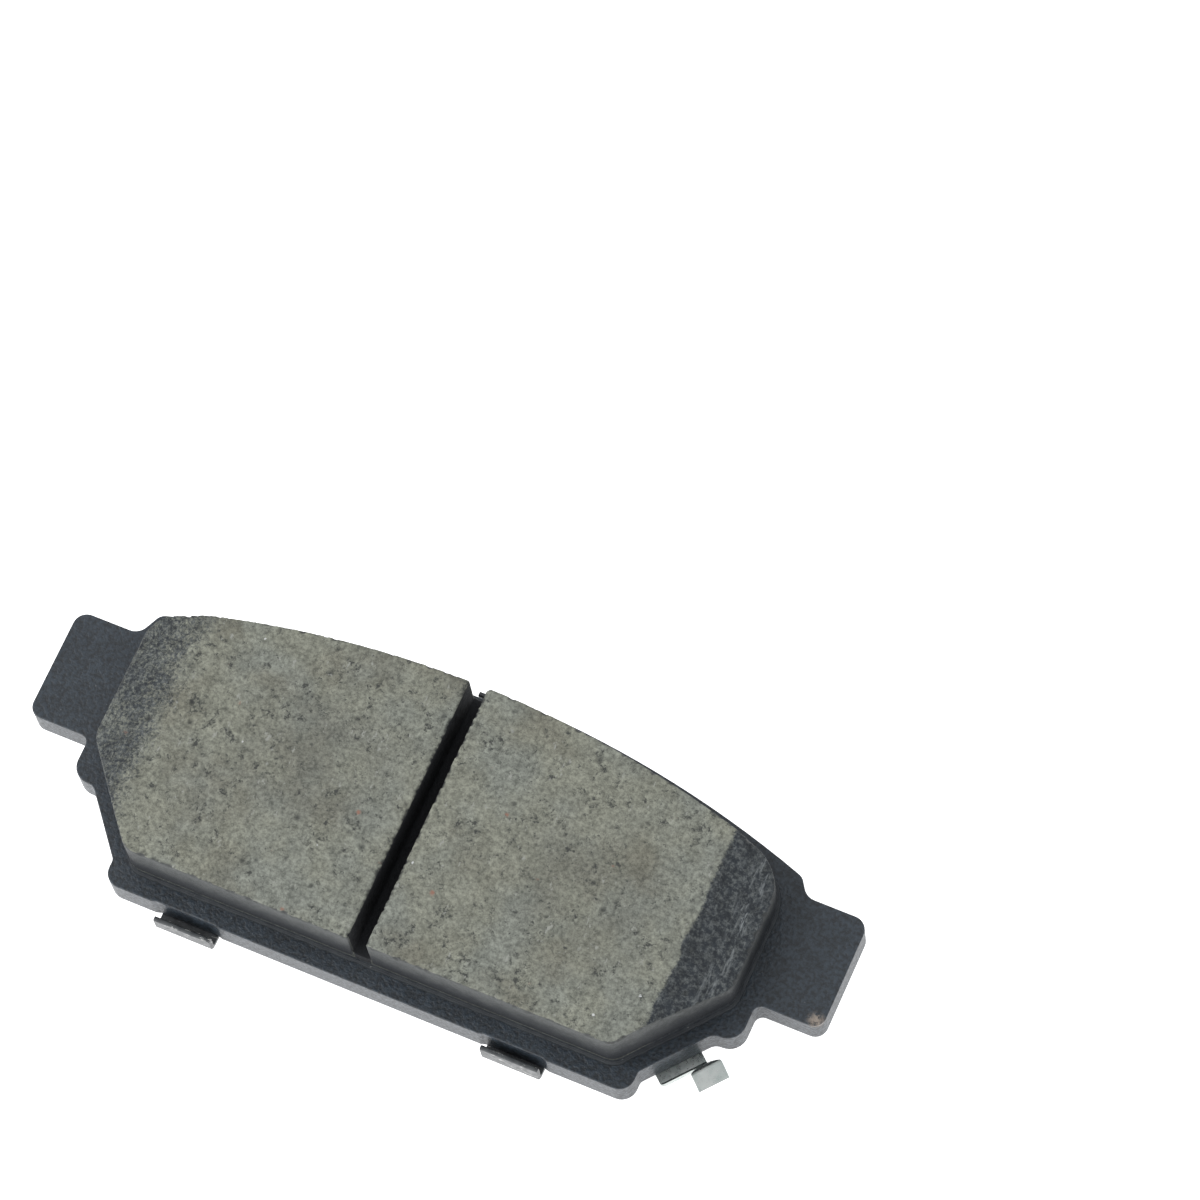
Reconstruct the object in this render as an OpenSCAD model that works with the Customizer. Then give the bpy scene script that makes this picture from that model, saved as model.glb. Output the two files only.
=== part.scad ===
// Disc brake pad for a floating caliper, lying on its shim with the friction face up.
// X runs along the length over the ears, Y up the height of the pad, Z out of the friction face.
// The origin is the centre of the bounding box, on the underside.

/* [Backing plate] */
// Length of the backing plate over both ears
plate_length = 137; // [114:0.5:165]
// Height of the backing plate from its straight edge to the top of its arch
plate_height = 52.4; // [43.5:0.1:63]
// Thickness of the backing plate
plate_thickness = 5.8; // [4.5:0.1:7]
// Radius of the arched upper edge of the backing plate
arch_radius = 177.5; // [140:0.5:240]
// Sideways place of the crown of the arch
arch_centre_x = -2; // [-4:0.5:4]
// Length of each ear, from the neck to the end
ear_length = 10.9; // [9:0.1:14]
// Height of each ear
ear_height = 19; // [14:0.5:23]

/* [Friction material] */
// Height of the friction material above the plate, underlayer included
friction_depth = 10.6; // [7:0.1:13]
// Margin between the straight edge of the plate and the friction block
lower_margin = 3.5; // [3:0.1:5]
// Margin between the arch of the plate and the friction block
upper_margin = 3; // [2.2:0.1:5]
// Margin between each slanted edge of the plate and the friction block
slant_margin = 2.7; // [2.2:0.1:4]
// Margin between each neck of the plate and the friction block
side_margin = 2.9; // [2:0.1:5]
// Length of the chamfer at each end of the friction block
chamfer_length = 9.4; // [5:0.1:15]
// Drop of the friction face at the outer edge of each chamfer
chamfer_drop = 3; // [1:0.1:4]
// Width of the slot
slot_width = 3; // [1.5:0.1:6]
// Friction material left under the slot
slot_floor = 1.6; // [1:0.1:3]
// Sideways place of the slot
slot_centre_x = -1.3; // [-4:0.1:4]
// Thickness of the underlayer between the plate and the friction block
underlayer_thickness = 1.6; // [1:0.1:2]
// Width of the thin flange around the foot of the underlayer
flange_width = 0.6; // [0.3:0.1:1]
// Diameter of the plugs that key the underlayer into the plate
plug_d = 9; // [5:0.5:12]

/* [Shim] */
// Thickness of the steel core of the shim
shim_steel = 0.8; // [0.6:0.05:1]
// Thickness of each rubber layer of the shim
shim_rubber = 0.2; // [0.15:0.05:0.3]
// Width of the bent tabs
tab_width = 9.8; // [7:0.1:13]
// Height of the left lower tab above the steel core
left_tab_rise = 3.4; // [1.5:0.1:4.5]
// Height of the right lower tab above the steel core
right_tab_rise = 4.1; // [1.5:0.1:4.5]
// Height of the upper tab above the steel core
upper_tab_rise = 3.5; // [1.5:0.1:4.5]
// Gap between the left lower tab and the straight edge of the plate
left_tab_gap = 1.3; // [0.2:0.05:1.6]
// Gap between the right lower tab and the straight edge of the plate
right_tab_gap = 0.95; // [0.2:0.05:1.6]
// Gap between the upper tab and the floor of its notch in the arch
upper_tab_gap = 0.95; // [0.2:0.05:1.4]
// Distance from the left foot of the plate to the middle of the left lower tab
left_tab_inset = 14.4; // [12:0.1:18]
// Distance from the right foot of the plate to the middle of the right lower tab
right_tab_inset = 19.7; // [17:0.1:22]
// Sideways place of the upper tab
upper_tab_x = 1; // [-5:0.5:5]

/* [Wear indicator] */
// Width of the base leaf along the slanted edge
indicator_width = 8; // [6:0.5:9]
// Thickness of the indicator strip
indicator_thickness = 0.7; // [0.5:0.05:0.85]
// Height of the tip above the friction side of the plate
indicator_reach = 2.4; // [1.5:0.1:3]
// Diameter of the rivet shank
rivet_d = 3.2; // [2.5:0.1:3.9]

/* [Hidden] */
$fn = 64;

// Heights of the layers
shim_thickness = shim_steel + 2 * shim_rubber;
core_z = shim_rubber;
inner_rubber_z = core_z + shim_steel;
plate_z = shim_thickness;
plate_top_z = plate_z + plate_thickness;
block_z = plate_top_z + underlayer_thickness;
face_z = plate_top_z + friction_depth;
flange_height = 0.5;

// Arch of the plate, moved inwards by inset: its Y at a given X
function arch_y(x, inset) =
    plate_height - arch_radius
    + sqrt(pow(arch_radius - inset, 2) - pow(x - arch_centre_x, 2));

// Notches that let the bent tabs lie beside the edges of the plate
lower_notch_depth = 0.25;
lower_notch_width = tab_width + 1;
lower_notch_lean = 0.4;
lower_notch_corner = 0.8;
upper_notch_depth = shim_steel + upper_tab_gap;
upper_notch_width = tab_width + 2.4;
left_stand_out = left_tab_gap + shim_steel;
right_stand_out = right_tab_gap + shim_steel;
tab_bend_radius = shim_steel + 0.3;

// The straight edge of the plate is drawn at Y = 0 and moved down to centre the bounding box
centre_y = (plate_height - max(left_stand_out, right_stand_out)) / 2;

// Outline of the plate: the ears hang from the shoulders of the arch
ear_end_x = plate_length / 2;
neck_x = ear_end_x - ear_length;
shoulder_x = neck_x - 1.6;
shoulder_rise = 2.8;
ear_high_y = arch_y(shoulder_x, 0) - shoulder_rise;
ear_low_y = ear_high_y - ear_height;
bump_share = 0.665;
bump_low_y = ear_low_y * bump_share;
bump_width = 4.1;
foot_x = neck_x - 12.4;
foot_share = 0.187;
foot_high_y = ear_low_y * foot_share;

// Slanted edges, from the foot of the plate up to the bump under each ear
slant_top_x = neck_x - bump_width;
slant_slope = (bump_low_y - foot_high_y) / (slant_top_x - foot_x);
slant_stretch = sqrt(1 + slant_slope * slant_slope);

// Outline of the friction block
block_x = neck_x - side_margin;
block_height = friction_depth - underlayer_thickness;
left_block_corner = 5;
right_block_corner = 7.5;

// Plugs of the underlayer
plug_spacing = neck_x * 0.88;
plug_y = plate_height * 0.46;

// Outline of the shim
shim_x = neck_x - 6.8;
shim_margin = 1.5;
shim_arch_inset = 2.5;
shim_left_inset = 3;
shim_right_inset = 7.3;
shim_corner = 4;
left_tab_x = left_tab_inset - foot_x;
right_tab_x = foot_x - right_tab_inset;

// Wear indicator: n points out of the slanted edge, t runs up along it
slant_angle = atan(slant_slope);
indicator_from_bump = 6.4;
indicator_x = slant_top_x - indicator_from_bump * cos(slant_angle);
indicator_inner_n = 6.8;
rivet_inner_n = 4;
rivet_head_d = rivet_d + 1.8;
rivet_head_thickness = shim_thickness - indicator_thickness;
shelf_n = 1.6;
arm_n = 5.2;
tip_n = 7.4;
tip_curl = 1.4;
arm_width = 2.4;
shoe_width = 5.2;

// Points along the arch from one X to another, none of them rounded
function arch_points(x_from, x_to, inset, steps) = [
    for (i = [0:steps])
        let (x = x_from + (x_to - x_from) * i / steps)
            [x, arch_y(x, inset), 0]
];

// Slanted edge, moved inwards by inset: its Y at a given X, and its X at a given Y
function slant_y(x, inset) = foot_high_y + slant_slope * (x - foot_x) + inset * slant_stretch;
function slant_x(y, inset) = foot_x + (y - foot_high_y - inset * slant_stretch) / slant_slope;

function unit(v) = v / norm(v);
function flat(p) = [p[0], p[1]];

// Points of one corner [x, y, radius], rounded between its neighbours
function corner_points(before, corner, after) =
    corner[2] == 0
    ? [flat(corner)]
    : let (
        a = unit(flat(before) - flat(corner)),
        b = unit(flat(after) - flat(corner)),
        half = acos(a * b) / 2,
        centre = flat(corner) + unit(a + b) * corner[2] / sin(half),
        start = flat(corner) + a * corner[2] / tan(half) - centre,
        turn = 180 - 2 * half,
        side = cross(a, b) < 0 ? 1 : -1,
        steps = max(2, ceil(turn / 12))
    )
    [
        for (i = [0:steps])
            let (
                w = side * turn * i / steps,
                across = start[0] * cos(w) - start[1] * sin(w),
                up = start[0] * sin(w) + start[1] * cos(w)
            )
                centre + [across, up]
    ];

// Outline through a list of corners, each one [x, y, radius]
function rounded(corners) = [
    for (i = [0:len(corners) - 1])
        each corner_points(
            corners[(i + len(corners) - 1) % len(corners)],
            corners[i],
            corners[(i + 1) % len(corners)]
        )
];

// The same corners on the other side of the middle, in the reverse order
function other_side(corners) = [
    for (i = [len(corners) - 1:-1:0])
        [-corners[i][0], corners[i][1], corners[i][2]]
];

// Corners of a shallow notch in the straight edge, from left to right
function lower_notch(x) =
    let (
        mouth = lower_notch_width / 2 + lower_notch_lean,
        floor_half = lower_notch_width / 2 - lower_notch_lean
    )
    [
        [x - mouth, 0, lower_notch_corner],
        [x - floor_half, lower_notch_depth, lower_notch_corner],
        [x + floor_half, lower_notch_depth, lower_notch_corner],
        [x + mouth, 0, lower_notch_corner]
    ];

// Corners of the plate from its foot up to the shoulder of the arch, on the right side
function plate_side() = [
    [foot_x, 0, 2.6],
    [foot_x, foot_high_y, 1.2],
    [slant_top_x, bump_low_y, 2],
    [neck_x, bump_low_y, 3],
    [neck_x, ear_low_y, 1.4],
    [ear_end_x, ear_low_y, 2.1],
    [ear_end_x, ear_high_y, 2.3],
    [neck_x + 0.3, ear_high_y, 2.5]
];

// Corners of the notch in the arch, from right to left
function upper_notch() =
    let (
        right_x = upper_tab_x + upper_notch_width / 2,
        left_x = upper_tab_x - upper_notch_width / 2,
        floor_y = plate_height - upper_notch_depth
    )
    [
        [right_x + 0.9, arch_y(right_x + 0.9, 0), 1.2],
        [right_x - 0.5, floor_y, 1],
        [left_x + 0.5, floor_y, 1],
        [left_x - 0.9, arch_y(left_x - 0.9, 0), 1.2]
    ];

module plate_outline() {
    shoulder_y = arch_y(shoulder_x, 0);
    left_shoulder_y = arch_y(-shoulder_x, 0);
    corners = concat(
        lower_notch(left_tab_x),
        lower_notch(right_tab_x),
        plate_side(),
        [[shoulder_x, shoulder_y, 2]],
        arch_points(shoulder_x - 4, upper_tab_x + upper_notch_width / 2 + 4, 0, 12),
        upper_notch(),
        arch_points(upper_tab_x - upper_notch_width / 2 - 4, 4 - shoulder_x, 0, 12),
        [[-shoulder_x, left_shoulder_y, 2]],
        other_side(plate_side())
    );
    polygon(rounded(corners));
}

// Outline of the friction block, grown outwards by grow
module block_outline(grow) {
    side_x = block_x + grow;
    low_y = lower_margin - grow;
    low_x = slant_x(low_y, slant_margin - grow);
    side_low_y = slant_y(side_x, slant_margin - grow);
    inset = upper_margin - grow;
    corners = concat(
        [
            [-low_x, low_y, 3],
            [low_x, low_y, 3],
            [side_x, side_low_y, 4],
            [side_x, arch_y(side_x, inset), right_block_corner]
        ],
        arch_points(side_x - right_block_corner, left_block_corner - side_x, inset, 28),
        [
            [-side_x, arch_y(-side_x, inset), left_block_corner],
            [-side_x, side_low_y, 4]
        ]
    );
    polygon(rounded(corners));
}

module shim_outline() {
    arch_end_x = shim_x - shim_corner;
    corners = concat(
        [
            [-slant_x(shim_margin, shim_left_inset), shim_margin, 2],
            [slant_x(shim_margin, shim_right_inset), shim_margin, 2],
            [shim_x, slant_y(shim_x, shim_right_inset), 2],
            [shim_x, arch_y(shim_x, shim_arch_inset), shim_corner]
        ],
        arch_points(arch_end_x, -arch_end_x, shim_arch_inset, 20),
        [
            [-shim_x, arch_y(-shim_x, shim_arch_inset), shim_corner],
            [-shim_x, slant_y(shim_x, shim_left_inset), 3]
        ]
    );
    polygon(rounded(corners));
}

// Moves a child out to both plug places
module at_plugs() {
    for (side = [-1, 1])
        translate([side * plug_spacing / 2, plug_y, 0])
            children();
}

// Turns a child so that its X points out of the right slanted edge and its Y runs up along it
module at_indicator() {
    translate([indicator_x, slant_y(indicator_x, 0), 0])
        rotate([0, 0, slant_angle - 90])
            children();
}

module backing_plate() {
    color("#2f3337")
        translate([0, -centre_y, plate_z])
            difference() {
                linear_extrude(plate_thickness)
                    plate_outline();
                at_plugs()
                    translate([0, 0, -1])
                        cylinder(d = plug_d, h = plate_thickness + 2);
                at_indicator()
                    translate([-rivet_inner_n, 0, -1])
                        cylinder(d = rivet_d, h = plate_thickness + 2);
            }
}

module underlayer() {
    color("#4a4c4b")
        translate([0, -centre_y, plate_top_z])
            union() {
                linear_extrude(flange_height)
                    block_outline(flange_width);
                linear_extrude(underlayer_thickness)
                    block_outline(0);
                at_plugs()
                    translate([0, 0, -plate_thickness])
                        cylinder(d = plug_d, h = plate_thickness + flange_height);
            }
}

module friction_block() {
    color("#8b8c84")
        translate([0, -centre_y, block_z])
            difference() {
                linear_extrude(block_height)
                    block_outline(0);
                translate([slot_centre_x - slot_width / 2, -1, slot_floor])
                    cube([slot_width, plate_height + 2, block_height]);
                for (side = [-1, 1])
                    end_chamfer(side);
            }
}

// Wedge that is cut from one end of the friction block
module end_chamfer(side) {
    overrun = 2;
    top_z = block_height;
    slope = chamfer_drop / chamfer_length;
    inner_x = side * (block_x - chamfer_length);
    outer_x = side * (block_x + overrun);
    outer_z = top_z - chamfer_drop - slope * overrun;
    wedge = [
        [inner_x, top_z],
        [outer_x, outer_z],
        [outer_x, top_z + overrun],
        [inner_x, top_z + overrun]
    ];
    translate([0, plate_height, 0])
        rotate([90, 0, 0])
            linear_extrude(plate_height)
                polygon(wedge);
}

// Flat rubber layer of the shim
module rubber_layer(z) {
    color("#232527")
        translate([0, -centre_y, z])
            linear_extrude(shim_rubber)
                shim_outline();
}

module shim_inner_rubber() {
    rubber_layer(inner_rubber_z);
}

module shim_outer_rubber() {
    rubber_layer(0);
}

module shim_core() {
    overlap = 1;
    left_root = shim_margin + left_stand_out + overlap;
    right_root = shim_margin + right_stand_out + overlap;
    upper_root = plate_height - arch_y(upper_tab_x, shim_arch_inset) + 2 + overlap;
    color("#a9adb0")
        translate([0, -centre_y, core_z])
            union() {
                linear_extrude(shim_steel)
                    shim_outline();
                translate([left_tab_x, -left_stand_out, 0])
                    bent_tab(left_root, left_tab_rise);
                translate([right_tab_x, -right_stand_out, 0])
                    bent_tab(right_root, right_tab_rise);
                translate([upper_tab_x, plate_height, 0])
                    rotate([0, 0, 180])
                        bent_tab(upper_root, upper_tab_rise);
            }
}

// Tab of the shim: it starts inside the shim, runs out to Y = 0 and turns up there
module bent_tab(root, rise) {
    corner = 0.3;
    profile = rounded([
        [0, 0, tab_bend_radius],
        [root, 0, 0],
        [root, shim_steel, 0],
        [shim_steel, shim_steel, tab_bend_radius - shim_steel],
        [shim_steel, shim_steel + rise, corner],
        [0, shim_steel + rise, corner]
    ]);
    translate([-tab_width / 2, 0, 0])
        rotate([90, 0, 90])
            linear_extrude(tab_width)
                polygon(profile);
}

// Height of the middle of the indicator strip at a distance n outside the slanted edge
function strip_z(n) =
    let (
        low = rivet_head_thickness + indicator_thickness / 2,
        high = plate_top_z + indicator_reach - indicator_thickness / 2
    )
    n < shelf_n ? low :
    n < arm_n ? low + (high - low) * (1 - cos(180 * (n - shelf_n) / (arm_n - shelf_n))) / 2 :
    high - tip_curl * (1 - cos(90 * (n - arm_n) / (tip_n - arm_n)));

// Point on one face of the strip: side is 1 for the upper face and -1 for the lower one
function strip_point(n, side) =
    let (
        step = 0.01,
        along = unit([2 * step, strip_z(n + step) - strip_z(n - step)])
    )
    [n, strip_z(n)] + side * indicator_thickness / 2 * [-along[1], along[0]];

module strip_profile() {
    steps = 24;
    reach = tip_n - shelf_n;
    upper = [for (i = [0:steps]) strip_point(shelf_n + reach * i / steps, 1)];
    lower = [for (i = [steps:-1:0]) strip_point(shelf_n + reach * i / steps, -1)];
    low_z = rivet_head_thickness;
    base = [[-indicator_inner_n, low_z], [-indicator_inner_n, low_z + indicator_thickness]];
    polygon(concat(base, upper, lower));
}

// Base leaf, narrow arm and wide shoe seen from above
module indicator_plan() {
    leaf_corner = 1.5;
    inner_corner = 0.5;
    arm_y = indicator_width / 2 - arm_width / 2;
    leaf_n = shelf_n + 0.6;
    waist_n = arm_n - 1.2;
    shoe_n = waist_n + 0.8;
    end_n = tip_n + 1;
    polygon(rounded([
        [-indicator_inner_n, -indicator_width / 2, leaf_corner],
        [leaf_n, -indicator_width / 2, 0.8],
        [leaf_n, arm_y - arm_width / 2, inner_corner],
        [waist_n, arm_y - arm_width / 2, inner_corner],
        [shoe_n, arm_y - shoe_width / 2, inner_corner],
        [end_n, arm_y - shoe_width / 2, 0],
        [end_n, arm_y + shoe_width / 2, 0],
        [shoe_n, arm_y + shoe_width / 2, inner_corner],
        [waist_n, arm_y + arm_width / 2, inner_corner],
        [-indicator_inner_n, arm_y + arm_width / 2, leaf_corner]
    ]));
}

module wear_indicator() {
    color("#c3c7c6")
        translate([0, -centre_y, 0])
            at_indicator()
                difference() {
                    intersection() {
                        linear_extrude(face_z)
                            indicator_plan();
                        translate([0, indicator_width, 0])
                            rotate([90, 0, 0])
                                linear_extrude(2 * indicator_width)
                                    strip_profile();
                    }
                    translate([-rivet_inner_n, 0, -1])
                        cylinder(d = rivet_d, h = shim_thickness + 2);
                }
}

module indicator_rivet() {
    color("#9a9d9e")
        translate([0, -centre_y, 0])
            at_indicator()
                translate([-rivet_inner_n, 0, 0])
                    union() {
                        cylinder(d = rivet_head_d, h = rivet_head_thickness);
                        cylinder(d = rivet_d, h = plate_top_z);
                    }
}

backing_plate();
underlayer();
friction_block();
shim_inner_rubber();
shim_core();
shim_outer_rubber();
wear_indicator();
indicator_rivet();
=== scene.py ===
import math

import bmesh
import bpy
import numpy as np
from mathutils import Matrix, Vector, kdtree


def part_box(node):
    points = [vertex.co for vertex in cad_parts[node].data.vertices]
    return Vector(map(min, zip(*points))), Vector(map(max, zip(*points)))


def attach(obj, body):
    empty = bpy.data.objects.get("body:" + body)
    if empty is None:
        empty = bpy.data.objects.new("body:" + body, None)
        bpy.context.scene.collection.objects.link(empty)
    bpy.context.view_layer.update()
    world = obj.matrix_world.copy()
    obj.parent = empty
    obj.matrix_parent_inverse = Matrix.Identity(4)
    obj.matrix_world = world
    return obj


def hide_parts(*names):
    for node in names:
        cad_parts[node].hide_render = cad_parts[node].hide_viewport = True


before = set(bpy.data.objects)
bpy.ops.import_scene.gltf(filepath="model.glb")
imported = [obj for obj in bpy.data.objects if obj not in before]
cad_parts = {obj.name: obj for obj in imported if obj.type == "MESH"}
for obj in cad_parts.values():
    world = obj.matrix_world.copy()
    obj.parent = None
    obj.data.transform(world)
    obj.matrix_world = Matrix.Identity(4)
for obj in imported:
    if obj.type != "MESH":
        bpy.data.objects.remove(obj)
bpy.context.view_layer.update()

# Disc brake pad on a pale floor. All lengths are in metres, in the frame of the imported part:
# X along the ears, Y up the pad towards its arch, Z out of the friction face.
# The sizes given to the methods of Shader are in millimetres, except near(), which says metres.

MM = 0.001

BLOCK_LOW, BLOCK_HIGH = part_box("friction_block")
PLATE_LOW, PLATE_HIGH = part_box("backing_plate")

# Chamfers and slot of the friction block, and plugs of the underlayer, as the part's source has them
CHAMFER_LENGTH = 9.4 * MM
CHAMFER_DROP = 3 * MM
CHAMFER_X = BLOCK_HIGH.x - CHAMFER_LENGTH
SLOT_X = -1.3 * MM
SLOT_HALF = 1.5 * MM
PLUG_X = 25.344 * MM
PLUG_Y = -1.046 * MM
PLUG_RADIUS = 4.5 * MM

# Edges of the plate this near to the middle of the rivet or of a plug belong to its hole
RIVET_REACH = 2.0 * MM
PLUG_REACH = 5.0 * MM

# Bare spot on the right ear, near its lower corner
CHIPPED_CORNER = Vector((PLATE_HIGH.x - 1.3 * MM, -3.3 * MM, PLATE_HIGH.z))

# Size of the block's mesh, the seed of its marks, and how many crumbs and pores it has
VOXEL = 0.3 * MM
MARKS_SEED = 11
OUTLINE_CHIPS = 420
SLOT_CHIPS = 90
FACE_PITS = 420

# Points around the block, for its crumbs and for the underlayer's flange
CRUMB_OUTLINE = 900
FLANGE_OUTLINE = 720

# The floor lies this far below the pad
FLOOR_GAP = 0.05 * MM
FLOOR_SIZE = 4.0

# Middles of the soft dark clouds on the face, one on each side of the slot
CLOUDS = ((-20 * MM, 3 * MM), (28 * MM, 0.0))


# ---------------------------------------------------------------- numbers and noise

def lattice_noise(points, cell, seed):
    """Smooth random field between -1 and 1, with one random value at each corner of a cubic lattice."""
    place = points / cell
    corner = np.floor(place).astype(int)
    part = place - corner
    part = part * part * (3 - 2 * part)
    corner -= corner.min(0)
    values = np.random.default_rng(seed).uniform(-1, 1, corner.max(0) + 2)
    total = np.zeros(len(points))
    for dx in (0, 1):
        for dy in (0, 1):
            for dz in (0, 1):
                step = np.array((dx, dy, dz))
                weight = np.where(step == 1, part, 1 - part).prod(1)
                i, j, k = (corner + step).T
                total += weight * values[i, j, k]
    return total


def smooth_step(value, low, high):
    """0 up to low and 1 from high on, with a soft rise between."""
    t = np.clip((value - low) / (high - low), 0, 1)
    return t * t * (3 - 2 * t)


# ---------------------------------------------------------------- mesh helpers

def link(name, mesh):
    """New object in the scene with this mesh."""
    piece = bpy.data.objects.new(name, mesh)
    bpy.context.scene.collection.objects.link(piece)
    return piece


def cad_bmesh(node):
    """Welded copy of a CAD mesh, its flat faces whole."""
    bm = bmesh.new()
    bm.from_mesh(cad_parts[node].data)
    bmesh.ops.remove_doubles(bm, verts=bm.verts, dist=0.001 * MM)
    bmesh.ops.dissolve_limit(bm, angle_limit=math.radians(0.5), verts=bm.verts, edges=bm.edges)
    return bm


def smooth_mesh(bm, name):
    """Mesh made from bm, with smooth shading; bm is freed."""
    mesh = bpy.data.meshes.new(name)
    bmesh.ops.recalc_face_normals(bm, faces=bm.faces)
    bm.to_mesh(mesh)
    bm.free()
    mesh.polygons.foreach_set("use_smooth", [True] * len(mesh.polygons))
    return mesh


def applied(piece):
    """The piece's mesh with its modifiers applied, in place of the mesh that it had."""
    graph = bpy.context.evaluated_depsgraph_get()
    mesh = bpy.data.meshes.new_from_object(piece.evaluated_get(graph))
    piece.modifiers.clear()
    piece.data = mesh
    return mesh


def coordinates(mesh, what="co"):
    """Positions of the mesh's vertices, or another vector of theirs, one row for each."""
    values = np.empty(len(mesh.vertices) * 3)
    mesh.vertices.foreach_get(what, values)
    return values.reshape(-1, 3)


def set_attribute(mesh, name, values):
    """One number for each vertex, which a material can read."""
    mesh.attributes.new(name, "FLOAT", "POINT").data.foreach_set("value", values.astype(np.float32))


def bevelled_copy(node, name, width, segments, wanted=lambda edge: True):
    """Copy of a CAD mesh with its sharp edges rounded."""
    bm = cad_bmesh(node)
    sharp = [e for e in bm.edges if e.is_manifold and e.calc_face_angle() > math.radians(40) and wanted(e)]
    bmesh.ops.bevel(
        bm, geom=sharp, offset=width, segments=segments, profile=0.5, affect="EDGES", clamp_overlap=True
    )
    piece = link(name, smooth_mesh(bm, name))
    piece.data.set_sharp_from_angle(angle=math.radians(50))
    weighted = piece.modifiers.new("weighted", "WEIGHTED_NORMAL")
    weighted.weight = 100
    weighted.keep_sharp = True
    return piece


def stands_for(piece, node, material):
    """Makes the piece the detailed form of a CAD node."""
    piece.data.materials.clear()
    piece.data.materials.append(material)
    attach(piece, "root")
    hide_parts(node)


# ---------------------------------------------------------------- material helpers

class Shader:
    """One node material: each method adds a node and gives its output."""

    def __init__(self, name):
        self.material = bpy.data.materials.new(name)
        self.material.use_nodes = True
        self.tree = self.material.node_tree
        self.surface = self.tree.nodes["Principled BSDF"]
        self.place = self.node("ShaderNodeTexCoord").outputs["Object"]

    def node(self, kind, inputs=None, **settings):
        made = self.tree.nodes.new(kind)
        for key, value in settings.items():
            setattr(made, key, value)
        for key, value in (inputs or {}).items():
            if isinstance(value, bpy.types.NodeSocket):
                self.tree.links.new(value, made.inputs[key])
            else:
                made.inputs[key].default_value = value
        return made

    def noise(self, size, detail=3.0, rough=0.5, place=None, stretch=None):
        """Noise whose largest feature is about size millimetres across, from 0 to 1."""
        place = place or self.place
        if stretch:
            place = self.node("ShaderNodeMapping", {"Vector": place, "Scale": stretch}).outputs["Vector"]
        inputs = {"Vector": place, "Scale": 1 / (size * MM), "Detail": detail, "Roughness": rough}
        return self.node("ShaderNodeTexNoise", inputs).outputs["Fac"]

    def warped(self, size, amount):
        """Place bent by noise of that size, by that many millimetres."""
        inputs = {"Vector": self.place, "Scale": 1 / (size * MM), "Detail": 2.0}
        bend = self.node("ShaderNodeTexNoise", inputs).outputs["Color"]
        middle = self.node("ShaderNodeVectorMath", {0: bend, 1: (0.5, 0.5, 0.5)}, operation="SUBTRACT")
        amounts = {0: middle.outputs[0], "Scale": amount * MM}
        offset = self.node("ShaderNodeVectorMath", amounts, operation="SCALE")
        return self.node("ShaderNodeVectorMath", {0: self.place, 1: offset.outputs[0]}).outputs[0]

    def grains(self, size, radius, share, place, soft=0.6):
        """Scattered spots, 1 in the middle of each, in a share of the cells; size is that of a cell."""
        inputs = {"Vector": place, "Scale": 1 / (size * MM)}
        cells = self.node("ShaderNodeTexVoronoi", inputs)
        spot = self.span(cells.outputs["Distance"], radius, radius * (1 - soft))
        chosen = self.node("ShaderNodeSeparateColor", {"Color": cells.outputs["Color"]}).outputs["Red"]
        return self.maths("MULTIPLY", spot, self.maths("LESS_THAN", chosen, share))

    def maths(self, operation, a, b=0.0):
        """One sum on two numbers."""
        return self.node("ShaderNodeMath", {0: a, 1: b}, operation=operation).outputs[0]

    def span(self, value, low, high, to_low=0.0, to_high=1.0):
        """Value eased from the span low..high to the span to_low..to_high, and held outside it."""
        inputs = {"Value": value, "From Min": low, "From Max": high, "To Min": to_low, "To Max": to_high}
        return self.node("ShaderNodeMapRange", inputs, interpolation_type="SMOOTHSTEP").outputs[0]

    def mix(self, factor, a, b, blend="MIX"):
        """Colour a where the factor is 0 and b, or its blend over a, where it is 1."""
        inputs = {0: factor, 6: a, 7: b}
        return self.node("ShaderNodeMix", inputs, data_type="RGBA", blend_type=blend).outputs[2]

    def attribute(self, name):
        """Number that set_attribute gave to the mesh."""
        return self.node("ShaderNodeAttribute", attribute_name=name).outputs["Fac"]

    def axes(self):
        """Outputs for X, Y and Z of the place in the part."""
        return self.node("ShaderNodeSeparateXYZ", {"Vector": self.place}).outputs

    def near(self, point, low, high):
        """1 within low metres of a point, falling to 0 at high metres."""
        away = self.node("ShaderNodeVectorMath", {0: self.place, 1: point}, operation="DISTANCE")
        return self.span(away.outputs["Value"], high, low)

    def scale(self, colour, factor):
        """Colour made lighter or darker by a factor."""
        grey = self.node("ShaderNodeCombineColor", {"Red": factor, "Green": factor, "Blue": factor})
        return self.mix(1.0, colour, grey.outputs[0], "MULTIPLY")

    def bump(self, height, depth, below=None):
        """Relief that is depth millimetres deep where height goes from 0 to 1."""
        inputs = {"Height": height, "Distance": depth * MM, "Strength": 1.0}
        if below:
            inputs["Normal"] = below
        return self.node("ShaderNodeBump", inputs).outputs["Normal"]

    def set(self, **inputs):
        """Fills in the surface and gives the finished material."""
        for key, value in inputs.items():
            socket = self.surface.inputs[key.replace("_", " ")]
            if isinstance(value, bpy.types.NodeSocket):
                self.tree.links.new(value, socket)
            else:
                socket.default_value = value
        return self.material


def rgb(red, green, blue):
    """Opaque colour, linear."""
    return (red, green, blue, 1.0)


# ---------------------------------------------------------------- materials

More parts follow.
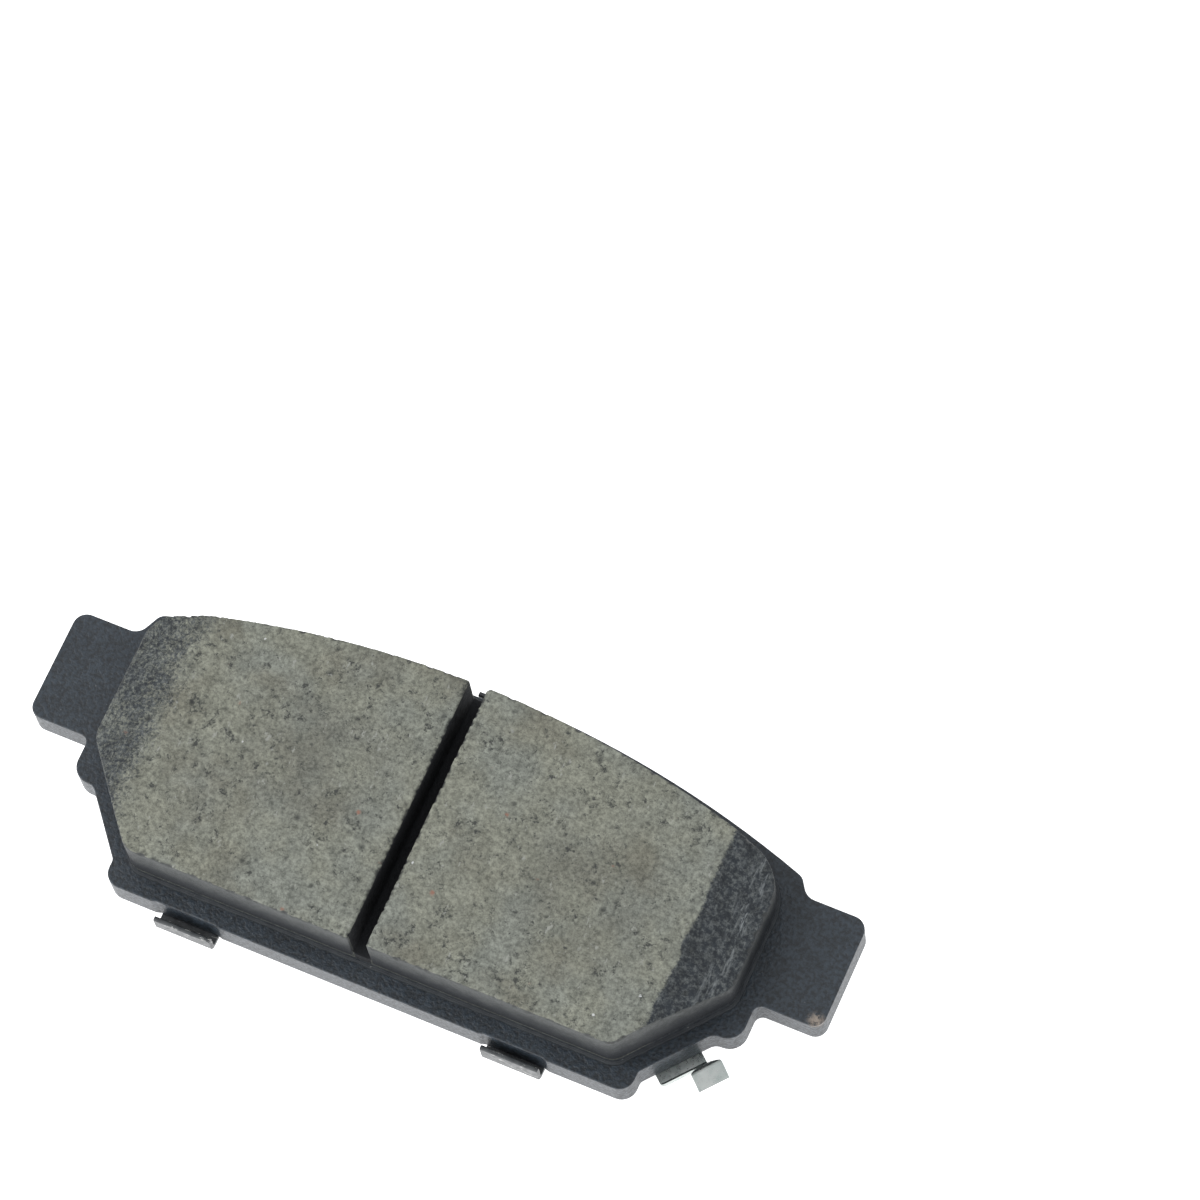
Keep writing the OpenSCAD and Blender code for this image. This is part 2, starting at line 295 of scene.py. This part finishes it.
def friction_colour(s):
    """Ground face: sage grey in warm and cool patches, with dark dashes, light grains and copper flecks."""
    ragged = s.warped(0.35, 0.5)
    patches = s.mix(s.span(s.noise(11, 3), 0.36, 0.64), rgb(0.178, 0.182, 0.148), rgb(0.167, 0.176, 0.153))
    brown = s.span(s.noise(16, 3, place=s.warped(6, 5)), 0.50, 0.70, 0.0, 0.7)
    patches = s.mix(brown, patches, rgb(0.126, 0.121, 0.094))
    ragged_cloud = s.span(s.noise(6, 4, 0.6), 0.35, 0.60)
    for x, y in CLOUDS:
        middle = s.near((x, y, BLOCK_HIGH.z), 3 * MM, 17 * MM)
        cloud = s.maths("MULTIPLY", s.maths("MULTIPLY", middle, ragged_cloud), 0.55)
        patches = s.mix(cloud, patches, rgb(0.098, 0.096, 0.080))
    clouds = s.span(s.noise(3.0, 4, 0.6), 0.28, 0.72, 0.84, 1.15)
    grit = s.span(s.noise(0.8, 4, 0.8), 0.30, 0.70, 0.60, 1.38)
    colour = s.scale(s.scale(patches, clouds), grit)
    crowd = s.span(s.noise(7, 3), 0.35, 0.65, -0.02, 0.035)
    marks = s.maths("SUBTRACT", s.noise(1.4, 4, 0.75, place=s.warped(0.8, 1.0)), crowd)
    colour = s.mix(s.span(marks, 0.44, 0.37, 0.0, 0.5), colour, rgb(0.060, 0.063, 0.056))
    colour = s.mix(s.span(marks, 0.375, 0.325, 0.0, 0.85), colour, rgb(0.036, 0.038, 0.036))
    dots = s.noise(0.9, 3, 0.7, place=s.warped(0.5, 0.6))
    colour = s.mix(s.span(dots, 0.36, 0.29, 0.0, 0.8), colour, rgb(0.045, 0.048, 0.045))
    flakes = s.noise(1.3, 3, 0.7, place=ragged, stretch=(1.0, 0.45, 1.0))
    colour = s.mix(s.span(flakes, 0.63, 0.71, 0.0, 0.8), colour, rgb(0.265, 0.27, 0.245))
    colour = s.mix(s.grains(4.6, 0.06, 0.4, ragged, 0.4), colour, rgb(0.46, 0.47, 0.46))
    return s.mix(s.grains(5.0, 0.11, 0.34, s.warped(0.7, 1.0), 0.9), colour, rgb(0.225, 0.120, 0.088))


def charcoal_colour(s):
    """Rough chamfers: blue charcoal with grey grit and worn streaks."""
    grit = s.span(s.noise(0.75, 5, 0.8), 0.42, 0.68)
    colour = s.mix(grit, rgb(0.018, 0.022, 0.027), rgb(0.098, 0.106, 0.106))
    colour = s.scale(colour, s.span(s.noise(2.4, 4, 0.6), 0.3, 0.7, 0.7, 1.2))
    streaks = s.span(s.noise(1.0, 4, 0.75, stretch=(1.0, 0.18, 1.0)), 0.50, 0.68)
    worn = s.maths("MULTIPLY", streaks, s.attribute("scuff"))
    return s.mix(worn, colour, rgb(0.20, 0.215, 0.22))


def charcoal_share(s):
    """Where the charcoal shows: the chamfer's attribute, broken up by fine grit."""
    grit = s.span(s.noise(0.55, 5, 0.8), 0.25, 0.75, -0.4, 0.4)
    return s.span(s.maths("ADD", s.attribute("charcoal"), grit), 0.15, 0.85)


def wall_colour_with_painted_shade(s):
    """Moulded sides: chalky grey under the ground edge, darkened towards the foot by painted shade."""
    height = s.maths("ADD", s.axes()["Z"], s.span(s.noise(2.4, 3), 0.3, 0.7, -0.9 * MM, 0.9 * MM))
    # Painted shade: the colour darkens from the ground edge down to the foot of the wall
    colour = s.mix(
        s.span(height, BLOCK_LOW.z + 1.5 * MM, BLOCK_HIGH.z),
        rgb(0.007, 0.009, 0.012),
        rgb(0.058, 0.062, 0.061),
    )
    colour = s.scale(colour, s.span(s.noise(0.6, 4, 0.7), 0.3, 0.7, 0.75, 1.25))
    rim = s.span(height, BLOCK_HIGH.z - 1.3 * MM, BLOCK_HIGH.z - 0.3 * MM)
    crumbs = s.maths("MULTIPLY", rim, s.span(s.noise(1.4, 4, 0.75), 0.44, 0.54))
    return s.mix(crumbs, colour, rgb(0.030, 0.032, 0.031))


def friction_compound():
    """Friction block: ground face, charcoal chamfers, moulded sides, pores and crumbs darkened by depth as
    painted shade, and a slot painted near black as shade.
    """
    s = Shader("friction_compound")
    colour = s.mix(charcoal_share(s), friction_colour(s), charcoal_colour(s))
    # Sides, with their painted shade towards the foot
    colour = s.mix(s.attribute("wall"), colour, wall_colour_with_painted_shade(s))
    # Painted shade: pores and crumbled edges darkened by how deep they sink
    colour = s.mix(s.attribute("painted_pit_shade"), colour, rgb(0.026, 0.028, 0.028))
    # Painted shade: the slot's sides and floor are painted near black
    colour = s.mix(s.attribute("slot"), colour, rgb(0.010, 0.011, 0.013))
    rough = s.span(s.attribute("wall"), 0.0, 1.0, 0.86, 0.66)
    relief = s.bump(s.noise(0.22, 4, 0.7), 0.045)
    relief = s.bump(s.noise(0.7, 3, 0.6), 0.05, relief)
    return s.set(Base_Color=colour, Roughness=rough, Normal=relief, Specular_IOR_Level=0.35)


def underlayer_compound():
    """Dark satin moulding with a few light grains."""
    s = Shader("underlayer_compound")
    colour = s.mix(s.span(s.noise(1.8, 4), 0.3, 0.7), rgb(0.012, 0.015, 0.019), rgb(0.024, 0.028, 0.032))
    colour = s.mix(s.grains(0.9, 0.2, 0.12, s.warped(0.6, 0.4)), colour, rgb(0.10, 0.105, 0.105))
    rough = s.span(s.noise(0.9, 3), 0.3, 0.7, 0.52, 0.72)
    relief = s.bump(s.noise(0.45, 4, 0.6), 0.03)
    return s.set(Base_Color=colour, Roughness=rough, Normal=relief, Specular_IOR_Level=0.35)


def powder_coat():
    """Black coat with a leathery orange peel, a little dust and one ear corner knocked bare; its colour is
    lighter on the peel's crests and darker in its dips, painted shading of that relief.
    """
    s = Shader("powder_coat")
    patches = s.span(s.noise(6, 4), 0.3, 0.7)
    colour = s.mix(patches, rgb(0.0105, 0.0155, 0.0215), rgb(0.0145, 0.0205, 0.0275))
    peel = s.noise(0.6, 3, 0.6, place=s.warped(1.2, 0.5))
    # Painted shading of the orange peel: the noise that makes its relief also lightens the crests and
    # darkens the dips
    colour = s.scale(colour, s.span(peel, 0.32, 0.68, 0.5, 1.7))
    dust = s.grains(1.6, 0.09, 0.25, s.warped(1.0, 0.6))
    colour = s.mix(dust, colour, rgb(0.075, 0.08, 0.085))
    bare_spot = s.near(CHIPPED_CORNER, 0.4 * MM, 1.9 * MM)
    chip = s.maths("MULTIPLY", bare_spot, s.span(s.noise(0.9, 4, 0.7), 0.40, 0.56))
    colour = s.mix(chip, colour, s.mix(s.noise(0.5), rgb(0.13, 0.10, 0.08), rgb(0.30, 0.26, 0.22)))
    rough = s.span(peel, 0.3, 0.7, 0.48, 0.36)
    relief = s.bump(peel, 0.13)
    relief = s.bump(s.noise(0.35, 3, 0.6), 0.02, relief)
    relief = s.bump(s.maths("SUBTRACT", 1.0, chip), 0.08, relief)
    return s.set(Base_Color=colour, Roughness=rough, Normal=relief, IOR=1.5)


def shim_rubber():
    """Matt black film with fine scratches along the shim."""
    s = Shader("shim_rubber")
    colour = s.mix(s.span(s.noise(9, 5, 0.6), 0.3, 0.7), rgb(0.018, 0.019, 0.021), rgb(0.034, 0.036, 0.039))
    scratches = s.span(s.noise(0.5, 2, 0.6, stretch=(0.05, 1.0, 1.0)), 0.70, 0.82, 0.0, 0.5)
    colour = s.mix(scratches, colour, rgb(0.09, 0.093, 0.096))
    rough = s.span(s.noise(3, 4), 0.3, 0.7, 0.55, 0.78)
    relief = s.bump(s.noise(0.35, 3, 0.6), 0.02)
    return s.set(Base_Color=colour, Roughness=rough, Normal=relief)


def shim_steel():
    """Steel sheet with a thin dark rubber film worn off its corners."""
    s = Shader("shim_steel")
    film = s.mix(s.span(s.noise(1.2, 4), 0.3, 0.7), rgb(0.022, 0.025, 0.028), rgb(0.048, 0.052, 0.055))
    bare = s.span(s.noise(0.5, 4, 0.7, stretch=(0.3, 1.0, 1.0)), 0.60, 0.68)
    colour = s.mix(bare, film, rgb(0.52, 0.52, 0.50))
    rough = s.span(s.noise(0.8, 3), 0.3, 0.7, 0.30, 0.45)
    relief = s.bump(s.noise(0.3, 3, stretch=(0.4, 1.0, 1.0)), 0.012)
    return s.set(Base_Color=colour, Metallic=s.maths("MULTIPLY", bare, 0.9), Roughness=rough, Normal=relief)


def zinc_spring_steel():
    """Dull zinc over brushed strip."""
    s = Shader("zinc_spring_steel")
    colour = s.mix(s.span(s.noise(3, 4, 0.6), 0.35, 0.65), rgb(0.47, 0.49, 0.475), rgb(0.37, 0.41, 0.395))
    rough = s.span(s.noise(0.8, 4, 0.6), 0.3, 0.7, 0.22, 0.42)
    relief = s.bump(s.noise(0.25, 2, stretch=(1.0, 0.25, 1.0)), 0.006)
    return s.set(Base_Color=colour, Metallic=0.95, Roughness=rough, Normal=relief)


def rivet_steel():
    """Plated steel with a blotchy sheen."""
    s = Shader("rivet_steel")
    colour = s.mix(s.span(s.noise(1.0, 4, 0.6), 0.35, 0.65), rgb(0.42, 0.43, 0.43), rgb(0.56, 0.57, 0.57))
    rough = s.span(s.noise(0.5, 3), 0.3, 0.7, 0.30, 0.48)
    relief = s.bump(s.noise(0.4, 3), 0.02)
    return s.set(Base_Color=colour, Metallic=0.95, Roughness=rough, Normal=relief)


def floor_paint():
    """Lit white table, so that hardly a shadow shows."""
    s = Shader("floor_paint")
    white = rgb(0.88, 0.88, 0.88)
    return s.set(Base_Color=white, Roughness=0.8, Emission_Color=white, Emission_Strength=1.1)


# ---------------------------------------------------------------- friction block

def block_outline(count):
    """Evenly spaced points around the foot of the block, anticlockwise, and their outward normals."""
    bm = cad_bmesh("friction_block")
    bm.faces.ensure_lookup_table()
    bottom = min(bm.faces, key=lambda face: face.normal.z * face.calc_area())
    corners = np.array([v.co.xy[:] for v in bottom.verts])
    bm.free()
    x, y = corners.T
    if (x * np.roll(y, -1) - y * np.roll(x, -1)).sum() < 0:
        corners = corners[::-1]
    closed = np.vstack((corners, corners[:1]))
    along = np.concatenate(((0.0,), np.cumsum(np.linalg.norm(np.diff(closed, axis=0), axis=1))))
    wanted = np.linspace(0, along[-1], count, endpoint=False)
    points = np.column_stack([np.interp(wanted, along, closed[:, axis]) for axis in (0, 1)])
    tangent = np.roll(points, -1, axis=0) - np.roll(points, 1, axis=0)
    normal = np.column_stack((tangent[:, 1], -tangent[:, 0]))
    return points, normal / np.linalg.norm(normal, axis=1)[:, None]


def voxel_block():
    """Copy of the CAD block as an even fine mesh, with its foot made longer and then cut flat."""
    waste = 1.0 * MM
    bm = cad_bmesh("friction_block")
    for vertex in bm.verts:
        if vertex.co.z < BLOCK_LOW.z + 0.01 * MM:
            vertex.co.z -= waste
    piece = link("friction_material", smooth_mesh(bm, "friction_material"))
    remesh = piece.modifiers.new("remesh", "REMESH")
    remesh.mode = "VOXEL"
    remesh.voxel_size = VOXEL
    soften = piece.modifiers.new("soften", "SMOOTH")
    soften.factor = 0.5
    soften.iterations = 2
    mesh = applied(piece)
    bm = bmesh.new()
    bm.from_mesh(mesh)
    geometry = bm.verts[:] + bm.edges[:] + bm.faces[:]
    cut = bmesh.ops.bisect_plane(
        bm, geom=geometry, plane_co=BLOCK_LOW, plane_no=(0, 0, 1), clear_inner=True
    )
    rim = [item for item in cut["geom_cut"] if isinstance(item, bmesh.types.BMEdge)]
    bmesh.ops.edgeloop_fill(bm, edges=rim)
    piece.data = smooth_mesh(bm, "friction_material")
    return piece


def top_height(x):
    """Height of the unworn top of the block at x, chamfers included."""
    slope = CHAMFER_DROP / CHAMFER_LENGTH
    return BLOCK_HIGH.z - slope * np.clip(np.abs(x) - CHAMFER_X, 0, None)


def edge_chips(outline, random):
    """Middles and radii of the crumbs that are missing from the edges of the face and of the slot."""
    points, normals = outline
    chips = []
    for i in random.integers(0, len(points), OUTLINE_CHIPS):
        x, y = points[i]
        radius = random.uniform(0.2, 0.42) * (1.7 if random.random() < 0.08 else 1.0) * MM
        drop = random.uniform(-0.2, 0.7 if normals[i][1] < -0.5 else 0.15) * MM
        chips.append((x, y, top_height(x) - drop, radius))
    for side in (-1, 1):
        for y in random.uniform(BLOCK_LOW.y, BLOCK_HIGH.y, SLOT_CHIPS):
            radius = random.uniform(0.2, 0.55) * MM
            z = BLOCK_HIGH.z + random.uniform(-0.1, 0.2) * MM
            chips.append((SLOT_X + side * SLOT_HALF, y, z, radius))
    return chips


def face_pits(random):
    """Middles and radii of the pores in the top of the block."""
    pits = []
    for _ in range(FACE_PITS):
        x = random.uniform(BLOCK_LOW.x, BLOCK_HIGH.x)
        y = random.uniform(BLOCK_LOW.y, BLOCK_HIGH.y)
        radius = random.uniform(0.24, 0.4) * (1.6 if random.random() < 0.06 else 1.0) * MM
        pits.append((x, y, top_height(x), radius))
    return pits


def press_in(place, tree, spots, depth):
    """How far each vertex sinks under round spots, in metres."""
    sunk = np.zeros(len(place))
    for x, y, z, radius in spots:
        for _, index, away in tree.find_range(Vector((x, y, z)), radius):
            sunk[index] = max(sunk[index], (1 - (away / radius) ** 2) * radius * depth)
    return sunk


def vertex_tree(place):
    """Search tree of the vertices."""
    tree = kdtree.KDTree(len(place))
    for i, point in enumerate(place):
        tree.insert(point, i)
    tree.balance()
    return tree


def block_zones(place, normal):
    """Whether each vertex is in the slot, and how much it is on the top and on the sides, from 0 to 1."""
    below_top = top_height(place[:, 0]) - place[:, 2]
    in_slot = np.abs(place[:, 0] - SLOT_X) < SLOT_HALF + 0.05 * MM
    slot = in_slot & (below_top > 0.35 * MM)
    upward = smooth_step(normal[:, 2], 0.35, 0.8) * ~slot
    wall = (1 - smooth_step(np.abs(normal[:, 2]), 0.2, 0.65)) * ~slot
    return slot, upward, wall


def charcoal_cover(place):
    """How much charcoal each vertex has: it starts crisply at the right chamfer and faintly at the left."""
    into_chamfer = np.abs(place[:, 0]) - CHAMFER_X
    into_chamfer += lattice_noise(place, 2.5 * MM, 1) * 0.5 * MM
    crisp = smooth_step(into_chamfer, -0.5 * MM, 0.7 * MM)
    faint = smooth_step(into_chamfer, -4.0 * MM, 3.0 * MM)
    faint *= 0.64 + 0.16 * lattice_noise(place, 3 * MM, 7)
    return np.where(place[:, 0] < 0, faint, crisp)


def scuff_line(place):
    """Scuffed line near the outer edge of the right chamfer."""
    middle = BLOCK_HIGH.x - 3.0 * MM
    line = np.exp(-((place[:, 0] - middle) / (1.5 * MM)) ** 2)
    return line * smooth_step(lattice_noise(place, 6 * MM, 6), -0.7, 0.2)


def rough_relief(place, slot, upward, wall):
    """How far the rough surface lies under the smooth one, before pores and crumbs, in metres."""
    chamfer = smooth_step(np.abs(place[:, 0]) - CHAMFER_X, -0.3 * MM, 0.6 * MM)
    coarse = lattice_noise(place, 1.1 * MM, 3)
    fine = lattice_noise(place, 0.5 * MM, 4)
    wave = lattice_noise(place, 7 * MM, 5)
    relief = upward * (0.018 + 0.055 * chamfer) * (coarse + fine) + wall * 0.014 * coarse
    relief = (relief + 0.03 * wave) * MM
    relief += slot * 0.07 * MM * (coarse + fine)
    return np.clip(relief + 0.05 * MM, 0, None)


def friction_block():
    """Fine copy of the block with a crumbled surface, and the attributes that its material reads."""
    piece = voxel_block()
    mesh = piece.data
    place = coordinates(mesh)
    normal = coordinates(mesh, "normal")
    random = np.random.default_rng(MARKS_SEED)
    outline = block_outline(CRUMB_OUTLINE)
    tree = vertex_tree(place)
    slot, upward, wall = block_zones(place, normal)
    charcoal = charcoal_cover(place)
    pit_depth = press_in(place, tree, face_pits(random), 0.42) * upward
    chip_depth = press_in(place, tree, edge_chips(outline, random), 0.55)

    # Every vertex only sinks inwards, less and less towards the foot, so the block stays in its CAD box
    sink = rough_relief(place, slot, upward, wall) + pit_depth + chip_depth
    foot = smooth_step(place[:, 2], BLOCK_LOW.z, BLOCK_LOW.z + 0.6 * MM)
    place = place - normal * (sink * foot)[:, None]
    place = np.clip(place, BLOCK_LOW[:], BLOCK_HIGH[:])
    mesh.vertices.foreach_set("co", place.ravel())
    mesh.update()

    # Painted shade for the material: the deeper a pore or crumb sinks, the darker it is painted
    painted_pit_shade = 0.5 * pit_depth / (0.16 * MM) + 0.9 * chip_depth / (0.2 * MM)
    set_attribute(mesh, "charcoal", charcoal)
    set_attribute(mesh, "wall", wall)
    # Marks the slot, which the material paints near black as shade
    set_attribute(mesh, "slot", slot * 1.0)
    set_attribute(mesh, "scuff", scuff_line(place))
    set_attribute(mesh, "painted_pit_shade", np.clip(painted_pit_shade, 0, 0.8))
    stands_for(piece, "friction_block", friction_compound())


# ---------------------------------------------------------------- underlayer

def underlayer():
    """Thin layer at the foot of the block, with a bead of flash on the plate and two plugs in its holes."""
    base_z = PLATE_HIGH.z
    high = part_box("underlayer")[1]
    flange = (high.x - BLOCK_HIGH.x) / MM
    thickness = (BLOCK_LOW.z - base_z) / MM
    # Distance out from the block and height above the plate, in millimetres
    profile = (
        (flange, 0.0), (flange, 0.16), (flange - 0.04, 0.30), (flange - 0.13, 0.42),
        (flange - 0.26, 0.48), (flange - 0.38, 0.49), (0.12, 0.50), (0.05, 0.56),
        (0.01, 0.70), (0.0, 0.95), (0.0, 1.3), (0.0, thickness),
    )
    points, normals = block_outline(FLANGE_OUTLINE)
    flat = np.column_stack((points, np.zeros(len(points))))
    ragged = lattice_noise(flat, 2.2 * MM, 21) * 0.5 + lattice_noise(flat, 0.7 * MM, 22) * 0.5
    bm = bmesh.new()
    rings = []
    for out, height in profile:
        offset = (out - out / flange * (0.10 + 0.10 * ragged)) * MM
        ring = points + normals * offset[:, None]
        rings.append([bm.verts.new((x, y, base_z + height * MM)) for x, y in ring])
    for lower, upper in zip(rings, rings[1:]):
        for i in range(len(lower)):
            j = (i + 1) % len(lower)
            bm.faces.new((lower[i], lower[j], upper[j], upper[i]))
    bm.faces.new(list(reversed(rings[0])))
    bm.faces.new(rings[-1])
    for side in (-1, 1):
        middle = Vector((side * PLUG_X, PLUG_Y, (PLATE_LOW.z + base_z) / 2))
        bmesh.ops.create_cone(
            bm, cap_ends=True, segments=64, radius1=PLUG_RADIUS, radius2=PLUG_RADIUS,
            depth=base_z - PLATE_LOW.z, matrix=Matrix.Translation(middle)
        )
    piece = link("underlayer_flash", smooth_mesh(bm, "underlayer_flash"))
    piece.data.set_sharp_from_angle(angle=math.radians(60))
    stands_for(piece, "underlayer", underlayer_compound())


# ---------------------------------------------------------------- metal pieces

def plate_edge(edge):
    """True for edges of the outline, not for those of the holes that the plugs and the rivet fill."""
    start, end = (vertex.co for vertex in edge.verts)
    if abs(start.z - end.z) > 0.1 * MM:
        return False
    middle = (start + end) / 2
    low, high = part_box("indicator_rivet")
    holes = [((low + high) / 2, RIVET_REACH)]
    for side in (-1, 1):
        holes.append((Vector((side * PLUG_X, PLUG_Y, 0)), PLUG_REACH))
    return all((middle.xy - centre.xy).length > reach for centre, reach in holes)


def plate():
    """Coated plate, its outline rounded a little on both faces."""
    piece = bevelled_copy("backing_plate", "coated_plate", width=0.2 * MM, segments=3, wanted=plate_edge)
    stands_for(piece, "backing_plate", powder_coat())


def shim():
    """Shim's steel with blunted edges; the two rubber films keep their CAD meshes."""
    piece = bevelled_copy("shim_core", "tabbed_shim", width=0.07 * MM, segments=2)
    stands_for(piece, "shim_core", shim_steel())
    rubber = shim_rubber()
    for node in ("shim_inner_rubber", "shim_outer_rubber"):
        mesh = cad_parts[node].data
        mesh.materials.clear()
        mesh.materials.append(rubber)


def indicator():
    """Spring strip with blunted edges, and its rivet."""
    strip = bevelled_copy("wear_indicator", "indicator_strip", width=0.08 * MM, segments=2)
    stands_for(strip, "wear_indicator", zinc_spring_steel())
    rivet = bevelled_copy("indicator_rivet", "indicator_rivet_shaped", width=0.12 * MM, segments=3)
    stands_for(rivet, "indicator_rivet", rivet_steel())


# ---------------------------------------------------------------- floor, light and camera

def floor():
    """Wide floor, a hair below the pad so that no two faces lie in one plane."""
    bm = bmesh.new()
    below = Matrix.Translation((0, 0, -FLOOR_GAP))
    bmesh.ops.create_grid(bm, x_segments=8, y_segments=8, size=FLOOR_SIZE, matrix=below)
    piece = link("floor", smooth_mesh(bm, "floor"))
    piece.data.materials.append(floor_paint())


def sky(strength):
    """Pale, even light from all around."""
    world = bpy.data.worlds.new("studio")
    bpy.context.scene.world = world
    world.use_nodes = True
    background = world.node_tree.nodes["Background"]
    background.inputs["Color"].default_value = rgb(0.97, 0.985, 1.0)
    background.inputs["Strength"].default_value = strength


def softbox(name, azimuth, elevation, distance, size, radiance):
    """Square area light that faces the pad."""
    turn = math.radians(azimuth)
    tilt = math.radians(elevation)
    towards = Vector((math.sin(turn) * math.cos(tilt), -math.cos(turn) * math.cos(tilt), math.sin(tilt)))
    lamp = bpy.data.lights.new(name, "AREA")
    lamp.shape = "SQUARE"
    lamp.size = size
    lamp.energy = radiance * math.pi * size * size
    thing = bpy.data.objects.new(name, lamp)
    thing.location = towards * distance
    thing.rotation_euler = towards.to_track_quat("Z", "Y").to_euler()
    bpy.context.scene.collection.objects.link(thing)


def light():
    """Even daylight, a strong soft light from the left and a weaker one from the front."""
    sky(0.95)
    softbox("left", azimuth=-65, elevation=42, distance=1.3, size=0.9, radiance=3.4)
    softbox("front", azimuth=-10, elevation=30, distance=1.4, size=0.9, radiance=1.4)


def camera():
    """Looks down on the pad from the front right, tilted a little to one side."""
    azimuth = math.radians(34.95)
    elevation = math.radians(67.78)
    roll = math.radians(11.79)
    aim = Vector((8.0, 47.8, 7.0)) * MM
    distance = 951.2 * MM
    look = Vector((
        -math.sin(azimuth) * math.cos(elevation),
        math.cos(azimuth) * math.cos(elevation),
        -math.sin(elevation),
    ))
    level = Vector((math.cos(azimuth), math.sin(azimuth), 0))
    upright = level.cross(look)
    up = upright * math.cos(roll) + level * math.sin(roll)
    right = look.cross(up)
    lens = bpy.data.cameras.new("camera")
    lens.lens = 180
    lens.sensor_width = 36
    lens.clip_start = 0.05
    lens.clip_end = 20
    thing = bpy.data.objects.new("camera", lens)
    axes = Matrix((right, up, -look)).transposed().to_4x4()
    thing.matrix_world = Matrix.Translation(aim - look * distance) @ axes
    bpy.context.scene.collection.objects.link(thing)
    bpy.context.scene.camera = thing


bpy.context.scene.view_settings.view_transform = "Standard"
floor()
light()
camera()
plate()
shim()
indicator()
underlayer()
friction_block()
